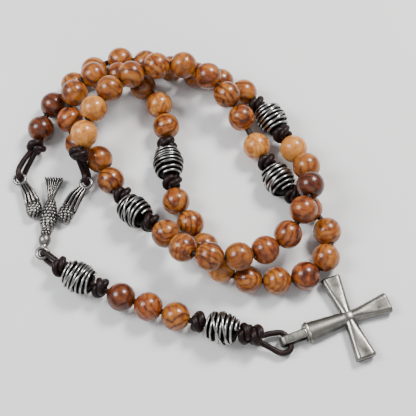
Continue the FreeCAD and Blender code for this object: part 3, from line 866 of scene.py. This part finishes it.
for share in np.linspace(-1, 1, TAIL_COVERTS):
    dove_parts.append(quill([(0.8 * share, -8.0, 2.7), (1.1 * share, -5.6, 3.1), (1.5 * share, -3.2, 2.9)],
                            (0.5, 0.6), (1.5, 1.2)))
points, faces, patina_and_painted_light = joined(dove_parts)
dove = new_mesh("pewter_dove", points, faces, cast_pewter, patina_and_painted_light)
put_at(dove, dove_matrix)
finish_piece(dove, "dove")
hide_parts("dove_centrepiece")

# ---------------------------------------------------------------- cross

# The cross's own frame: origin on the surface under its middle, with its bail on the -X side.
ARM_LENGTH = 15.15
CROSS_DEPTH = 4.4
BAIL_CENTRE = 23.2
BAIL_ARM = 2
HOLLOW_DEPTH = 0.16
turn = Vector(JOINTS["cross"]["axis"])
CROSS_X = Vector((-turn.y, turn.x, 0.0)).normalized()
CROSS_Y = Vector((-CROSS_X.y, CROSS_X.x, 0.0))
CROSS_ORIGIN = Vector((52.1, -45.0, 0.0)) * MM
cross_matrix = Matrix.Translation(CROSS_ORIGIN) @ Matrix(
    (CROSS_X, CROSS_Y, Vector((0, 0, 1)))).transposed().to_4x4()


def superellipse(angle, half_width, half_depth, power):
    """A point of a section that is round at power 2 and squarer above it."""
    c, s = math.cos(angle), math.sin(angle)
    return (half_width * math.copysign(abs(c) ** (2 / power), c),
            half_depth * math.copysign(abs(s) ** (2 / power), s))


def cross_arm(angle, reach, dished):
    """One arm: a round neck that flares to a wide blunt end, smooth or dished between two rims."""
    sides, steps = 40, 34
    points, patina_and_painted_light = [], []
    turn_x, turn_y = math.cos(angle), math.sin(angle)
    neck, growth, bend, squareness, dullness = (
        (2.05, 1.7, 1.2, 0.8, 0.08) if dished else (2.3, 1.3, 0.8, 0.0, 0.26))
    neck_share, tip_share, tip_length = 0.12, 0.955, 0.06
    for i in range(steps + 1):
        share = i / steps
        along = reach * share
        flare = max(0.0, (share - neck_share) / (1 - neck_share)) ** bend
        half_width = neck + growth * flare
        half_depth = 1.8 + 0.32 * flare
        edge = 1.0
        if share > tip_share:
            edge = 0.75 + 0.25 * math.sqrt(max(0.0, 1 - ((share - tip_share) / tip_length) ** 2))
        for j in range(sides):
            a = 2 * math.pi * j / sides
            across, height = superellipse(a, half_width * edge, half_depth * edge, 2.0 + squareness * flare)
            off_middle = abs(across) / half_width
            # The dished share: it sinks the middle of the face and also draws it darker.
            darkening = dished * min(1.0, 1.6 * flare) * math.exp(-(off_middle / 0.55) ** 4)
            height *= 1 - HOLLOW_DEPTH * darkening
            points.append(((along * turn_x - across * turn_y) * MM, (along * turn_y + across * turn_x) * MM,
                           max(LOWEST, CROSS_DEPTH / 2 + height) * MM))
            # Painted shade under the arm and on its sides, which leaves a painted highlight along its top;
            # the dished middle is darker as well.
            underside_shade = max(0.0, -math.sin(a))
            side_shade = 1 - abs(math.sin(a))
            patina_and_painted_light.append(min(1.0, dullness + 0.55 * darkening + 0.6 * underside_shade + 0.35 * side_shade))
    return points, capped_faces(steps + 1, sides), patina_and_painted_light


def slab(x_from, x_to, half_width, half_depth):
    """A rounded bar across the bail's arm."""
    sides, steps = 32, 8
    points, patina_and_painted_light = [], []
    for i in range(steps + 1):
        share = 2 * i / steps - 1
        bulge = 0.86 + 0.14 * math.sqrt(max(0.0, 1 - share * share))
        x = x_from + (x_to - x_from) * i / steps
        for j in range(sides):
            across, height = superellipse(2 * math.pi * j / sides, half_width * bulge,
                                          half_depth * bulge, 3.2)
            points.append((x * MM, across * MM, max(LOWEST, CROSS_DEPTH / 2 + height) * MM))
            patina_and_painted_light.append(0.55 - 0.45 * (1 - abs(share)))
    return points, capped_faces(steps + 1, sides), patina_and_painted_light


def bail_band():
    """A flat band bent round into a long eye, open sideways for the cord."""
    count, profile = 64, 12
    points, patina_and_painted_light = [], []
    inner, wall, half_band = 1.5, 0.7, 1.55
    start_x, end_x = -15.4, -BAIL_CENTRE + 0.2
    radius = inner + wall / 2
    straight = start_x - end_x
    total = 2 * straight + math.pi * radius
    for i in range(count + 1):
        s = total * i / count
        if s < straight:
            centre, out = (start_x - s, radius), (0.0, 1.0)
        elif s < straight + math.pi * radius:
            a = math.pi / 2 + (s - straight) / radius
            centre, out = (end_x + radius * math.cos(a), radius * math.sin(a)), (math.cos(a), math.sin(a))
        else:
            centre, out = (end_x + (s - straight - math.pi * radius), -radius), (0.0, -1.0)
        for j in range(profile):
            across, thick = superellipse(2 * math.pi * j / profile, half_band, wall / 2, 3.5)
            points.append(((centre[0] + out[0] * thick) * MM, across * MM,
                           max(LOWEST, CROSS_DEPTH / 2 + centre[1] + out[1] * thick) * MM))
            # Painted shade: the band's inner face, inside the eye, is drawn darker; its brightness also
            # rises and falls slowly along the band.
            patina_and_painted_light.append(0.02 + 0.4 * math.sin(0.55 * s) ** 2 + 0.5 * (thick < 0))
    return points, capped_faces(count + 1, profile), patina_and_painted_light


cross_parts = [cross_arm(k * math.pi / 2, ARM_LENGTH, k != BAIL_ARM) for k in range(4)]
cross_parts.append(round_mass((0, 0, CROSS_DEPTH / 2), (3.1, 3.1, 2.05)))
cross_parts.append(slab(-15.3, -14.1, 3.75, 2.1))
cross_parts.append(slab(-16.0, -15.2, 3.3, 1.95))
cross_parts.append(bail_band())
points, faces, patina_and_painted_light = joined(cross_parts)
cross = new_mesh("pewter_cross", points, faces, cross_pewter, patina_and_painted_light)
put_at(cross, cross_matrix)
finish_piece(cross, "cross")
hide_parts("cross")
